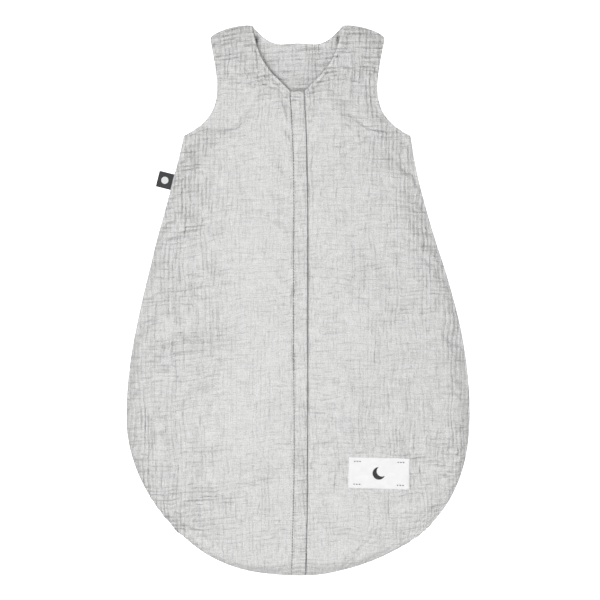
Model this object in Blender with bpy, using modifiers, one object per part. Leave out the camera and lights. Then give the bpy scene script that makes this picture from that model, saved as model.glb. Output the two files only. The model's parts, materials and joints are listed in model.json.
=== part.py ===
"""Baby sleeping bag, 70 cm size: a sleeveless, lined muslin bag with a covered front zip.

The bag lies flat on its back. +Z is up, +Y runs to the neck and +X is to the right as seen from above.
The origin is on the floor plane, at the middle of the bag's width and length. All lengths are in metres.
"""

import math

import bmesh
import bpy
import numpy as np
from mathutils import Matrix, Vector

# Driving dimensions
LENGTH = 0.700
HALF_LENGTH = LENGTH / 2
HEM_HALF_WIDTH = 0.2193
HEM_CENTRE_Y = -0.145
HEM_POWER = 2.1
NECK_POINT = (0.058, HALF_LENGTH)
SHOULDER_TIP = (0.111, 0.335)
UNDERARM = (0.1449, 0.2116)
FRONT_NECK_BOTTOM = 0.268
BACK_NECK_BOTTOM = 0.328

# Cloth layers, from the floor up
OUTER_CLOTH = 0.0016
LINING_CLOTH = 0.0012
LAYER_GAP = 0.0003
BACK_LINING_Z = OUTER_CLOTH + LAYER_GAP
FRONT_LINING_SEAM_Z = BACK_LINING_Z + LINING_CLOTH + LAYER_GAP
FRONT_OUTER_SEAM_Z = FRONT_LINING_SEAM_Z + LINING_CLOTH + LAYER_GAP
LINING_RISE = 0.0132
OUTER_RISE = 0.0161
TOP_Z = FRONT_OUTER_SEAM_Z + OUTER_RISE + OUTER_CLOTH

# How far in from each edge the front swells to its full height
SIDE_SWELL = 0.045
HEM_SWELL = 0.018
HEM_SWELL_WIDTH = 0.120
SHOULDER_SWELL = 0.050
ARMHOLE_SWELL = 0.030
ARMHOLE_EDGE_RISE = 0.55
CLOTH_CELL = 0.022

# Front opening. Depths are measured down from the top of the front panels.
OPENING_HALF_WIDTH = 0.009
OPENING_BOTTOM = -0.3215
SEAM_HALF_GAP = 0.00015
FOLD_BOTTOM_X = 0.0165
FOLD_NECK_SHARE = 0.30
FOLD_GAP = 0.0004
NECK_CORNER_SLOPE = 1.4
CHAIN_DEPTH = 0.0041
CHAIN_THICKNESS = 0.0020
TAPE_THICKNESS = 0.0006
TAPE_INNER_X = 0.0033
TAPE_OUTER_X = 0.012
ZIP_BOTTOM = -0.3100
ZIP_TOP = 0.2460
TAPE_TOP = 0.2610
TOOTH_PITCH = 0.0050
TOOTH_LENGTH = 0.0022
TOOTH_TIP_X = -0.0005
TOOTH_ROOT_X = 0.0025
SPINE_OUTER_X = 0.0030
TOP_STOP_X = 0.0019
TOP_STOP_SIZE = (0.0022, 0.0030)
TOP_STOP_ABOVE_TEETH = 0.0125
BOTTOM_STOP_SIZE = (0.0060, 0.0030)
BOTTOM_STOP_BELOW_TEETH = 0.0019

# Slider, pull tab and placket
SLIDER_Y = 0.2480
SLIDER_LENGTH = 0.0110
SLIDER_HALF_WIDTH = 0.0045
SLIDER_PLATE = 0.0010
SLIDER_CLEARANCE = 0.0004
SLIDER_POST_WIDTH = 0.0022
SLIDER_POST_LENGTH = 0.0031
SLIDER_EDGE = 0.0001
JOIN_OVERLAP = 0.0002
PIVOT_DEPTH = 0.0008
CROWN_SPAN = 0.0066
CROWN_WIDTH = 0.0018
CROWN_METAL = 0.0008
TAB_LENGTH = 0.0180
TAB_WIDTH = 0.0056
TAB_THICKNESS = 0.0010
TAB_WINDOW_WIDTH = 0.0030
TAB_WINDOW_LENGTH = 0.0046
TAB_ROUNDING = 0.0002
PLACKET_HALF_WIDTH = 0.0090
PLACKET_LIFT = 0.0012
PLACKET_CLOTH = 0.0014
PLACKET_TOP = 0.2670
PLACKET_BOTTOM = -0.3440
PLACKET_SEAM_GAP = 0.0003
PLACKET_LEVEL_Y = 0.25

# Labels
FRONT_LABEL_CENTRE = (0.103, -0.218)
FRONT_LABEL_SIZE = (0.077, 0.039)
FRONT_LABEL_TURN = math.radians(-1.5)
LABEL_THICKNESS = 0.0006
SIDE_TAG_TOP_Y = 0.1625
SIDE_TAG_BOTTOM_Y = 0.1425
SIDE_TAG_LENGTH = 0.0192
SIDE_TAG_Z = 0.0026
SIDE_TAG_THICKNESS = 0.0012
CARE_LABEL_CENTRE = (-0.158, 0.060)
CARE_LABEL_SIZE = (0.030, 0.045)

MUSLIN = (0.66, 0.66, 0.655, 1.0)
MUSLIN_LINING = (0.62, 0.62, 0.615, 1.0)
WOVEN_WHITE = (0.86, 0.86, 0.85, 1.0)
WOVEN_CHARCOAL = (0.045, 0.045, 0.05, 1.0)
ZIP_GREY = (0.55, 0.55, 0.55, 1.0)
NICKEL = (0.60, 0.60, 0.60, 1.0)


def start_clean():
    for item in list(bpy.data.objects):
        bpy.data.objects.remove(item, do_unlink=True)
    parts = bpy.data.collections.new("baby_sleeping_bag")
    bpy.context.scene.collection.children.link(parts)
    cutters = bpy.data.collections.new("cutters")
    bpy.context.scene.collection.children.link(cutters)
    return parts, cutters


def plain_material(name, colour, roughness, metallic=0.0):
    material = bpy.data.materials.new(name)
    material.use_nodes = True
    shader = material.node_tree.nodes["Principled BSDF"]
    shader.inputs["Base Color"].default_value = colour
    shader.inputs["Roughness"].default_value = roughness
    shader.inputs["Metallic"].default_value = metallic
    return material


# Outline of the bag, right half


def bezier(points, share):
    """A point on the cubic curve through four control points."""
    a, b, c, d = (Vector(p) for p in points)
    rest = 1 - share
    return a * rest**3 + b * 3 * rest**2 * share + c * 3 * rest * share**2 + d * share**3


def curve_points(points, count, first=0.0, last=1.0):
    return [bezier(points, first + (last - first) * i / count) for i in range(count + 1)]


FRONT_NECK = [NECK_POINT, (0.045, 0.298), (0.026, 0.292), (OPENING_HALF_WIDTH, FRONT_NECK_BOTTOM)]
BACK_NECK = [NECK_POINT, (0.022, 0.320), (0.022, BACK_NECK_BOTTOM), (0.0, BACK_NECK_BOTTOM)]
SHOULDER = [NECK_POINT, (0.070, 0.3497), (0.105, 0.352), SHOULDER_TIP]
ARMHOLE = [SHOULDER_TIP, (0.1060, 0.2934), (0.0810, 0.2388), UNDERARM]
SIDE = [UNDERARM, (0.1659, 0.0897), (HEM_HALF_WIDTH, -0.0152), (HEM_HALF_WIDTH, HEM_CENTRE_Y)]


def hem_points(count):
    """The rounded hem, from the widest place to the middle of the bottom edge."""
    points = []
    for i in range(1, count + 1):
        turn = math.pi / 2 * i / count
        x = HEM_HALF_WIDTH * max(math.cos(turn), 0.0) ** (2 / HEM_POWER)
        drop = (HALF_LENGTH + HEM_CENTRE_Y) * math.sin(turn) ** (2 / HEM_POWER)
        points.append(Vector((x, HEM_CENTRE_Y - drop)))
    return points


def armhole_side_and_hem():
    """From the shoulder tip round to the middle of the hem, shoulder tip included."""
    return curve_points(ARMHOLE, 9)[:-1] + curve_points(SIDE, 11) + hem_points(12)


# Height of the cloth


def distance_to(line, point):
    """Shortest distance from a point to a chain of straight pieces."""
    best = 1.0
    for start, end in zip(line, line[1:]):
        along = end - start
        share = (point - start).dot(along) / along.length_squared
        nearest = start + along * min(max(share, 0.0), 1.0)
        best = min(best, (point - nearest).length)
    return best


SEAM_LINE = curve_points(SIDE, 22) + hem_points(24)
SHOULDER_LINE = curve_points(SHOULDER, 8)
ARMHOLE_LINE = curve_points(ARMHOLE, 14)


def round_off(distance, reach):
    """A quarter ellipse: 0 at the edge, 1 from reach inwards."""
    share = min(distance / reach, 1.0)
    return math.sqrt(max(1 - (1 - share) ** 2, 0.0))


def fullness(x, y):
    """How far the front has risen at a place: 0 at the seams and 1 in the middle."""
    point = Vector((abs(x), y))
    towards_hem = min(abs(x) / HEM_SWELL_WIDTH, 1.0) if y < HEM_CENTRE_Y else 1.0
    reach = HEM_SWELL + (SIDE_SWELL - HEM_SWELL) * towards_hem**2 * (3 - 2 * towards_hem)
    seams = round_off(distance_to(SEAM_LINE, point), reach)
    shoulder = round_off(distance_to(SHOULDER_LINE, point), SHOULDER_SWELL)
    armhole = round_off(distance_to(ARMHOLE_LINE, point), ARMHOLE_SWELL)
    return seams * shoulder * (ARMHOLE_EDGE_RISE + (1 - ARMHOLE_EDGE_RISE) * armhole)


# Builders


def finish_object(mesh_data, name, collection, material):
    item = bpy.data.objects.new(name, mesh_data)
    collection.objects.link(item)
    mesh_data.materials.append(material)
    return item


def mesh_from(bm, name):
    bmesh.ops.recalc_face_normals(bm, faces=bm.faces)
    mesh_data = bpy.data.meshes.new(name)
    bm.to_mesh(mesh_data)
    bm.free()
    return mesh_data


def cloth_piece(name, outline, height, thickness, collection, material, cells=True):
    """A slab of cloth over a flat outline, its underside at height(x, y)."""
    bm = bmesh.new()
    bm.faces.new([bm.verts.new((p[0], p[1], 0.0)) for p in outline])
    if cells:
        xs = [p[0] for p in outline]
        ys = [p[1] for p in outline]
        for axis, low, high in ((0, min(xs), max(xs)), (1, min(ys), max(ys))):
            normal = (1, 0, 0) if axis == 0 else (0, 1, 0)
            for step in range(math.ceil(low / CLOTH_CELL), math.floor(high / CLOTH_CELL) + 1):
                place = [value * step * CLOTH_CELL for value in normal]
                geometry = bm.verts[:] + bm.edges[:] + bm.faces[:]
                bmesh.ops.bisect_plane(bm, geom=geometry, plane_co=place, plane_no=normal, dist=1e-5)
    bmesh.ops.remove_doubles(bm, verts=bm.verts, dist=1e-5)
    bmesh.ops.triangulate(bm, faces=bm.faces)
    for vert in bm.verts:
        vert.co.z = height(vert.co.x, vert.co.y)
    raised = bmesh.ops.extrude_face_region(bm, geom=bm.faces[:])
    top = [g for g in raised["geom"] if isinstance(g, bmesh.types.BMVert)]
    bmesh.ops.translate(bm, verts=top, vec=(0, 0, thickness))
    return finish_object(mesh_from(bm, name), name, collection, material)


def flat_plate(name, outline, low, thickness, collection, material):
    return cloth_piece(name, outline, lambda x, y: low, thickness, collection, material, cells=False)


def rectangle(centre, size, turn=0.0):
    """Four corners of a rectangle turned about its centre."""
    half_x = size[0] / 2
    half_y = size[1] / 2
    corners = [(-half_x, -half_y), (half_x, -half_y), (half_x, half_y), (-half_x, half_y)]
    return [Matrix.Rotation(turn, 2) @ Vector(c) + Vector(centre) for c in corners]


def box(name, low, high, collection):
    """An axis-aligned box between two corners."""
    bm = bmesh.new()
    bmesh.ops.create_cube(bm, size=1.0)
    size = Vector(high) - Vector(low)
    bmesh.ops.scale(bm, verts=bm.verts, vec=size)
    bmesh.ops.translate(bm, verts=bm.verts, vec=(Vector(high) + Vector(low)) / 2)
    item = bpy.data.objects.new(name, mesh_from(bm, name))
    collection.objects.link(item)
    return item


def combine(target, other, operation, cutters):
    """Adds or cuts one mesh object with another, which stays hidden in the cutters."""
    for holder in list(other.users_collection):
        holder.objects.unlink(other)
    cutters.objects.link(other)
    other.hide_render = True
    other.display_type = "WIRE"
    modifier = target.modifiers.new(operation.lower() + "_" + other.name, "BOOLEAN")
    modifier.operation = operation
    modifier.object = other
    modifier.solver = "EXACT"


def mirrored(points, side):
    return [Vector((p[0] * side, p[1])) for p in points]


# Fold line of each front half


def fold_ends():
    """The fold runs from beside the zip's bottom end to a place on the neck edge."""
    return Vector((FOLD_BOTTOM_X, OPENING_BOTTOM)), bezier(FRONT_NECK, FOLD_NECK_SHARE)


def fold_direction():
    low, high = fold_ends()
    return (high - low).normalized()


# Sub-parts


def outer_underside(x, y):
    return FRONT_OUTER_SEAM_Z + OUTER_RISE * fullness(x, y)


def lining_underside(x, y):
    return FRONT_LINING_SEAM_Z + LINING_RISE * fullness(x, y)


def back_outline():
    right = curve_points(BACK_NECK, 6)[::-1] + curve_points(SHOULDER, 6)[1:-1] + armhole_side_and_hem()
    left = [Vector((-p.x, p.y)) for p in right[1:-1]]
    return right + left[::-1]


def add_back(collection, cloth, lining):
    outline = back_outline()
    flat_plate("back_panel_outer", outline, 0.0, OUTER_CLOTH, collection, cloth)
    flat_plate("back_panel_lining", outline, BACK_LINING_Z, LINING_CLOTH, collection, lining)


def front_root_outline():
    """The sewn part of a front half, outside its fold line."""
    low, high = fold_ends()
    away = Vector((FOLD_GAP / 2, 0))
    hem_centre = Vector((SEAM_HALF_GAP, -HALF_LENGTH))
    points = curve_points(FRONT_NECK, 3, FOLD_NECK_SHARE, 0.0)[1:]
    points += curve_points(SHOULDER, 6)[1:-1] + armhole_side_and_hem()[:-1]
    points += [hem_centre, Vector((SEAM_HALF_GAP, OPENING_BOTTOM)), low + away, high + away]
    return points


def front_lapel_outline(inner_x):
    """The part of a front half that folds out: from the zip to the fold line."""
    low, high = fold_ends()
    towards_zip = Vector((-FOLD_GAP / 2, 0))
    above_seam = Vector((0, FOLD_GAP))
    neck = [p for p in curve_points(FRONT_NECK, 6, FOLD_NECK_SHARE, 1.0)[1:] if p.x > inner_x + 0.001]
    corner = Vector((inner_x, neck[-1].y - (neck[-1].x - inner_x) * NECK_CORNER_SLOPE))
    return [high + towards_zip] + neck + [corner, Vector((inner_x, low.y)) + above_seam, low + towards_zip + above_seam]


def add_front(side, word, collection, cloth, lining):
    layers = (
        ("outer", OPENING_HALF_WIDTH, outer_underside, OUTER_CLOTH, cloth),
        ("lining", OPENING_HALF_WIDTH + 0.001, lining_underside, LINING_CLOTH, lining),
    )
    for layer, inner_x, height, thickness, material in layers:
        panel = mirrored(front_root_outline(), side)
        lapel = mirrored(front_lapel_outline(inner_x), side)
        cloth_piece(f"front_panel_{word}_{layer}", panel, height, thickness, collection, material)
        cloth_piece(f"front_lapel_{word}_{layer}", lapel, height, thickness, collection, material)


def chain_z():
    return TOP_Z - CHAIN_DEPTH


def add_zip_tape(side, word, collection, material):
    size = (TAPE_OUTER_X - TAPE_INNER_X, TAPE_TOP - OPENING_BOTTOM - FOLD_GAP)
    centre = (side * (TAPE_OUTER_X + TAPE_INNER_X) / 2, (TAPE_TOP + OPENING_BOTTOM + FOLD_GAP) / 2)
    low = chain_z() - TAPE_THICKNESS / 2
    flat_plate(f"zip_tape_{word}", rectangle(centre, size), low, TAPE_THICKNESS, collection, material)


def comb_outline(side):
    """A comb: a spine beside the centre line and teeth that reach just past it."""
    shift = 0.0 if side < 0 else TOOTH_PITCH / 2
    count = int((ZIP_TOP - ZIP_BOTTOM - shift) / TOOTH_PITCH)
    points = [(SPINE_OUTER_X, ZIP_BOTTOM + shift)]
    for i in range(count):
        low = ZIP_BOTTOM + shift + i * TOOTH_PITCH
        high = low + TOOTH_LENGTH
        points += [(TOOTH_TIP_X, low), (TOOTH_TIP_X, high)]
        if i < count - 1:
            points += [(TOOTH_ROOT_X, high), (TOOTH_ROOT_X, low + TOOTH_PITCH)]
    points.append((SPINE_OUTER_X, high))
    return mirrored(points, side)


def add_zip_teeth(side, word, collection, material):
    low = chain_z() - CHAIN_THICKNESS / 2
    flat_plate(f"zip_teeth_{word}", comb_outline(side), low, CHAIN_THICKNESS, collection, material)


def add_top_stop(side, word, collection, material):
    outline = rectangle((side * TOP_STOP_X, ZIP_TOP + TOP_STOP_ABOVE_TEETH), TOP_STOP_SIZE)
    low = chain_z() - CHAIN_THICKNESS / 2
    flat_plate(f"zip_top_stop_{word}", outline, low, CHAIN_THICKNESS, collection, material)


def add_bottom_stop(collection, material):
    outline = rectangle((0.0, ZIP_BOTTOM - BOTTOM_STOP_BELOW_TEETH), BOTTOM_STOP_SIZE)
    low = chain_z() - CHAIN_THICKNESS / 2
    flat_plate("zip_bottom_stop", outline, low, CHAIN_THICKNESS, collection, material)


def add_slider(collection, cutters, material):
    """Two plates with a divider post between them, side rims, and a crown for the pull tab."""
    front = SLIDER_Y - SLIDER_LENGTH / 2
    back = SLIDER_Y + SLIDER_LENGTH / 2
    half_slot = CHAIN_THICKNESS / 2 + SLIDER_CLEARANCE
    top_low = chain_z() + half_slot
    bottom_high = chain_z() - half_slot
    wide = SLIDER_HALF_WIDTH
    slider = box(
        "zip_slider_body", (-wide, front, top_low), (wide, back, top_low + SLIDER_PLATE), collection
    )
    slider.data.materials.append(material)
    bottom = box("slider_bottom", (-wide, front, bottom_high - SLIDER_PLATE), (wide, back, bottom_high), cutters)
    combine(slider, bottom, "UNION", cutters)
    half_post = SLIDER_POST_WIDTH / 2
    post_back = back - SLIDER_CLEARANCE
    post = box(
        "slider_post",
        (-half_post, post_back - SLIDER_POST_LENGTH, bottom_high - JOIN_OVERLAP),
        (half_post, post_back, top_low + JOIN_OVERLAP),
        cutters,
    )
    combine(slider, post, "UNION", cutters)
    tape_slot = TAPE_THICKNESS / 2 + SLIDER_CLEARANCE
    rim_inner = SPINE_OUTER_X + SLIDER_CLEARANCE
    for side in (-1, 1):
        for word, low, high in (
            ("upper", chain_z() + tape_slot, top_low + JOIN_OVERLAP),
            ("lower", bottom_high - JOIN_OVERLAP, chain_z() - tape_slot),
        ):
            xs = sorted((side * rim_inner, side * (wide - SLIDER_EDGE)))
            rim = box(
                f"slider_rim_{word}_{side}",
                (xs[0], front + SLIDER_EDGE, low),
                (xs[1], back - SLIDER_EDGE, high),
                cutters,
            )
            combine(slider, rim, "UNION", cutters)
    crown_top = TOP_Z + CROWN_METAL
    half_crown = CROWN_WIDTH / 2
    crown = box(
        "slider_crown",
        (-half_crown, SLIDER_Y - CROWN_SPAN / 2, top_low + SLIDER_PLATE - JOIN_OVERLAP),
        (half_crown, SLIDER_Y + CROWN_SPAN / 2, crown_top),
        cutters,
    )
    combine(slider, crown, "UNION", cutters)
    window = box(
        "crown_window",
        (-wide, SLIDER_Y - CROWN_SPAN / 2 + CROWN_METAL, top_low + SLIDER_PLATE),
        (wide, SLIDER_Y + CROWN_SPAN / 2 - CROWN_METAL, TOP_Z),
        cutters,
    )
    combine(slider, window, "DIFFERENCE", cutters)


def add_pull_tab(collection, cutters, material):
    """A flat tab that points to the hem. Its cross bar runs through the slider's crown."""
    pivot = Vector((0, SLIDER_Y, TOP_Z - PIVOT_DEPTH))
    half_bar = TAB_THICKNESS / 2
    half_wide = TAB_WIDTH / 2
    tab = box("zip_pull_tab", (-half_wide, -TAB_LENGTH, -half_bar), (half_wide, half_bar, half_bar), collection)
    tab.location = pivot
    tab.data.materials.append(material)
    half_window = TAB_WINDOW_WIDTH / 2
    window = box(
        "tab_window",
        (-half_window, -half_bar - TAB_WINDOW_LENGTH, -TAB_LENGTH),
        (half_window, -half_bar, TAB_LENGTH),
        cutters,
    )
    window.location = pivot
    combine(tab, window, "DIFFERENCE", cutters)
    rounding = tab.modifiers.new("rounding", "BEVEL")
    rounding.width = TAB_ROUNDING
    rounding.segments = 2
    rounding.limit_method = "ANGLE"


def add_placket(collection, material):
    """The strip that covers the zip. It is sewn along its left edge and free on its right."""
    left = -PLACKET_HALF_WIDTH + PLACKET_SEAM_GAP
    size = (PLACKET_HALF_WIDTH - left, PLACKET_TOP - PLACKET_BOTTOM)
    centre = ((PLACKET_HALF_WIDTH + left) / 2, (PLACKET_TOP + PLACKET_BOTTOM) / 2)

    def underside(x, y):
        return outer_underside(0.0, min(y, PLACKET_LEVEL_Y)) + OUTER_CLOTH + PLACKET_LIFT

    cloth_piece("placket_flap", rectangle(centre, size), underside, PLACKET_CLOTH, collection, material)


def seam_place(y):
    """The place on the left side seam at a given y."""
    above = [p for p in SEAM_LINE if p.y > y][-1]
    below = [p for p in SEAM_LINE if p.y <= y][0]
    share = (above.y - y) / (above.y - below.y)
    return Vector((-(above.x + (below.x - above.x) * share), y))


def side_tag_outline():
    """A ribbon loop that stands square off the left side seam."""
    top = seam_place(SIDE_TAG_TOP_Y)
    bottom = seam_place(SIDE_TAG_BOTTOM_Y)
    along = (top - bottom).normalized()
    outward = Vector((-along.y, along.x))
    near = outward * 2 * LAYER_GAP
    far = outward * SIDE_TAG_LENGTH
    return [bottom + near, top + near, top + far, bottom + far]


def add_labels(collection, woven_white, woven_charcoal):
    outline = rectangle(FRONT_LABEL_CENTRE, FRONT_LABEL_SIZE, FRONT_LABEL_TURN)
    flat_plate("front_label", outline, TOP_Z + LAYER_GAP, LABEL_THICKNESS, collection, woven_white)
    flat_plate("side_tag", side_tag_outline(), SIDE_TAG_Z, SIDE_TAG_THICKNESS, collection, woven_charcoal)
    care = rectangle(CARE_LABEL_CENTRE, CARE_LABEL_SIZE)
    care_z = BACK_LINING_Z + LINING_CLOTH + LAYER_GAP
    flat_plate("care_label", care, care_z, LABEL_THICKNESS, collection, woven_white)


def main():
    parts, cutters = start_clean()
    cloth = plain_material("muslin", MUSLIN, 0.95)
    lining = plain_material("muslin_lining", MUSLIN_LINING, 0.95)
    woven_white = plain_material("woven_white", WOVEN_WHITE, 0.8)
    woven_charcoal = plain_material("woven_charcoal", WOVEN_CHARCOAL, 0.85)
    zip_plastic = plain_material("zip_plastic", ZIP_GREY, 0.45)
    zip_tape = plain_material("zip_tape", ZIP_GREY, 0.9)
    nickel = plain_material("nickel", NICKEL, 0.3, 1.0)
    add_back(parts, cloth, lining)
    for side, word in ((-1, "left"), (1, "right")):
        add_front(side, word, parts, cloth, lining)
        add_zip_tape(side, word, parts, zip_tape)
        add_zip_teeth(side, word, parts, zip_plastic)
        add_top_stop(side, word, parts, zip_plastic)
    add_bottom_stop(parts, zip_plastic)
    add_slider(parts, cutters, nickel)
    add_pull_tab(parts, cutters, nickel)
    add_placket(parts, cloth)
    add_labels(parts, woven_white, woven_charcoal)


main()
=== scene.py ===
"""Looks of the baby sleeping bag: crinkled muslin, zip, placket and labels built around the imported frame.

All lengths are in metres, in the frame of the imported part: +Z up, +Y to the neck, +X right.
"""

import json
import math

import bmesh
import bpy
import numpy as np
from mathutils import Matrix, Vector


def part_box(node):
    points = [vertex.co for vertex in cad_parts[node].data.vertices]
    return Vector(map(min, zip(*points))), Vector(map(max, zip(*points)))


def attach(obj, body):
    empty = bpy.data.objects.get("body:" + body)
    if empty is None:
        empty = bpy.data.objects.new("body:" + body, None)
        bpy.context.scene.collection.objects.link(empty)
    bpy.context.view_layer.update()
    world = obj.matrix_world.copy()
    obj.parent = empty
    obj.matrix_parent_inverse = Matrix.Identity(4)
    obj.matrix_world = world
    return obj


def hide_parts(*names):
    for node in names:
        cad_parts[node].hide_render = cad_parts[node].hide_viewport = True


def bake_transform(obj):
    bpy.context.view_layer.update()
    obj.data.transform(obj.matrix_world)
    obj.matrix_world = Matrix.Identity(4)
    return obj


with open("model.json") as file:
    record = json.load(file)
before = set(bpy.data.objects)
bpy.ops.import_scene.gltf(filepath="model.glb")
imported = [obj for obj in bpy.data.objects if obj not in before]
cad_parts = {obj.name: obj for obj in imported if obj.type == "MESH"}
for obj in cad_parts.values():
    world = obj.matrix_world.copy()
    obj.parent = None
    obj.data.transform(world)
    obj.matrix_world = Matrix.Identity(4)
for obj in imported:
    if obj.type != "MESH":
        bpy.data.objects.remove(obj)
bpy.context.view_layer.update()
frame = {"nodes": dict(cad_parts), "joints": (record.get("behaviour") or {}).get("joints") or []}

MM = 0.001

# Sizes read from the frame
BACK_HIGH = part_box("back_panel_outer")[1]
HALF_LENGTH = BACK_HIGH.y
HEM_HALF_WIDTH = BACK_HIGH.x
LAPEL_LOW, LAPEL_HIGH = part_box("front_lapel_right_outer")
TOP_Z = LAPEL_HIGH.z
OPENING_HALF_WIDTH = LAPEL_LOW.x
CHAIN_Z = sum(corner.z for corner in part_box("zip_teeth_right")) / 2
JOINTS = {joint["name"]: joint for joint in frame["joints"]}
FOLD_START = Vector(JOINTS["lapel_right_fold"]["pos_m"])
FOLD_DIRECTION = Vector(JOINTS["lapel_right_fold"]["axis"])
SLIDER_Y = JOINTS["pull_tab_swing"]["pos_m"][1]

# Outline of the right half: the curves of the frame's panels, with slightly fuller shoulders
NECK_POINT = (0.0575, HALF_LENGTH + 0.0022)
SHOULDER_TIP = (0.111, 0.3375)
UNDERARM = (0.1449, 0.2116)
NECK_BOTTOM_Y = 0.268
HEM_CENTRE_Y = -0.145
HEM_POWER = 2.1
FRONT_NECK = (NECK_POINT, (0.050, 0.300), (0.0295, 0.289), (OPENING_HALF_WIDTH, NECK_BOTTOM_Y))
BACK_NECK = (NECK_POINT, (0.031, 0.3215), (0.024, 0.3302), (0.0, 0.3302))
SHOULDER = (NECK_POINT, (0.068, 0.3550), (0.101, 0.3482), SHOULDER_TIP)
ARMHOLE = (SHOULDER_TIP, (0.1060, 0.2934), (0.0810, 0.2388), UNDERARM)
SIDE = (UNDERARM, (0.1659, 0.0897), (HEM_HALF_WIDTH, -0.0152), (HEM_HALF_WIDTH, HEM_CENTRE_Y))

# Cloth grid: rows run across the bag, columns along it
COLUMNS = 35
HEM_ROWS = 32
BODY_ROWS = 68
NECK_ROWS = 14
FRONT_DETAIL = 4
BACK_DETAIL = 3
LINING_DETAIL = 2
STRIP_COLUMNS = 25
STRIP_CELL = 1.5 * MM
CURVE_STEPS = 400
WALK_REACH = 0.4 * MM
TINY = 1e-6

# Heights of the cloth
SEAM_TOP_Z = 5.0 * MM
SEAM_BOTTOM_Z = 2.6 * MM
OUTER_THICKNESS = 1.2 * MM
LINING_THICKNESS = 0.8 * MM
LINING_TUCK = 4.0 * MM
SIDE_SWELL = 48 * MM
HEM_SWELL = 30 * MM
SHOULDER_SWELL = 55 * MM
ARMHOLE_SWELL = 34 * MM
ARMHOLE_EDGE_RISE = 0.55
RIM_WIDTH = 3.6 * MM
NECK_SAG = 5 * MM
NECK_SAG_REACH = 0.045
# Centre of the painted shade in each inner shoulder hollow
SHOULDER_HOLLOW_SHADE = (0.0520, 0.3345)
EDGE_GAP = 0.2 * MM
STRIP_ROOM_Z = 24.0 * MM  # the strip's underside stays above the pull tab
STRIP_MIN_THICKNESS = 0.45 * MM

# Where the front halves bend, measured out from the fold line towards the zip; here only the far end is used,
# to split the placket strip and its stitches
BEND_START = 8.4 * MM
BEND_END = 20.4 * MM

# Muslin
WRINKLE_PITCH = 4.4 * MM
LEVEL_SLOPE = 0.09  # level creases rise towards the zip on the left half

# Stitching
SEAM_STITCH = (3.6 * MM, 2.7 * MM, 0.5 * MM)  # pitch, length and thickness
LABEL_STITCH = (2.6 * MM, 1.9 * MM, 0.22 * MM)
MOTIF_STITCH = (3.4 * MM, 2.4 * MM, 0.6 * MM)

# Labels
LABEL_SIZE = (0.077, 0.039)
LABEL_TURN = math.radians(-1.5)
MOON = (0.0080, 0.0067, 0.0046)  # radius, radius of the bite and how far off centre it is
DOT_RADIUS = 4.6 * MM
TAG_IN_SEAM = 4 * MM

SEED = 7


# Plane curves


def bezier(points, count):
    share = np.linspace(0, 1, count)[:, None]
    a, b, c, d = (np.array(p, float) for p in points)
    rest = 1 - share
    return a * rest**3 + 3 * b * rest**2 * share + 3 * c * rest * share**2 + d * share**3


def hem_curve(count):
    """From the widest place down round to the middle of the bottom edge."""
    turn = np.linspace(0, math.pi / 2, count)
    x = HEM_HALF_WIDTH * np.cos(turn) ** (2 / HEM_POWER)
    y = HEM_CENTRE_Y - (HALF_LENGTH + HEM_CENTRE_Y) * np.sin(turn) ** (2 / HEM_POWER)
    return np.stack([x, y], 1)


def measured(line):
    """The length of a chain of points, and a function that gives its points at any distances along it."""
    line = np.array(line)
    steps = np.linalg.norm(np.diff(line, axis=0), axis=1)
    place = np.concatenate([[0], np.cumsum(steps)])
    return place[-1], lambda wanted: np.stack([np.interp(wanted, place, column) for column in line.T], 1)


def spread(line, count):
    """count points evenly spaced along a chain of points."""
    length, at = measured(line)
    return at(np.linspace(0, length, count))


def walk(line, pitch):
    """Places and directions every pitch along a chain of points, from half a pitch in."""
    length, at = measured(line)
    wanted = np.arange(pitch / 2, length, pitch)
    return at(wanted), at(np.minimum(wanted + WALK_REACH, length)) - at(np.maximum(wanted - WALK_REACH, 0))


def distance_to(line, x, y):
    """Shortest distance from each point of a grid to an edge of the right half or its mirror image."""
    x = np.abs(x)
    best = np.full(x.shape, 1.0)
    for (ax, ay), (bx, by) in zip(line, line[1:]):
        dx, dy = bx - ax, by - ay
        share = np.clip(((x - ax) * dx + (y - ay) * dy) / (dx * dx + dy * dy), 0, 1)
        best = np.minimum(best, np.hypot(x - ax - dx * share, y - ay - dy * share))
    return best


SEAM_LINE = np.concatenate([bezier(SIDE, 24), hem_curve(40)[1:]])
SHOULDER_LINE = bezier(SHOULDER, 12)
ARMHOLE_LINE = bezier(ARMHOLE, 20)
NECK_LINE = bezier(FRONT_NECK, 20)
BACK_NECK_LINE = bezier(BACK_NECK, 20)


def coons(bottom, top, left, right):
    """A grid of points that fills the space between four edges. Rows go from bottom to top."""
    rows, columns = len(left), len(bottom)
    v = np.linspace(0, 1, rows)[:, None, None]
    u = np.linspace(0, 1, columns)[None, :, None]
    across = (1 - v) * bottom[None] + v * top[None]
    along = (1 - u) * left[:, None] + u * right[:, None]
    corners = (1 - u) * (1 - v) * bottom[0] + u * (1 - v) * bottom[-1]
    return across + along - (corners + (1 - u) * v * top[0] + u * v * top[-1])


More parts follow.
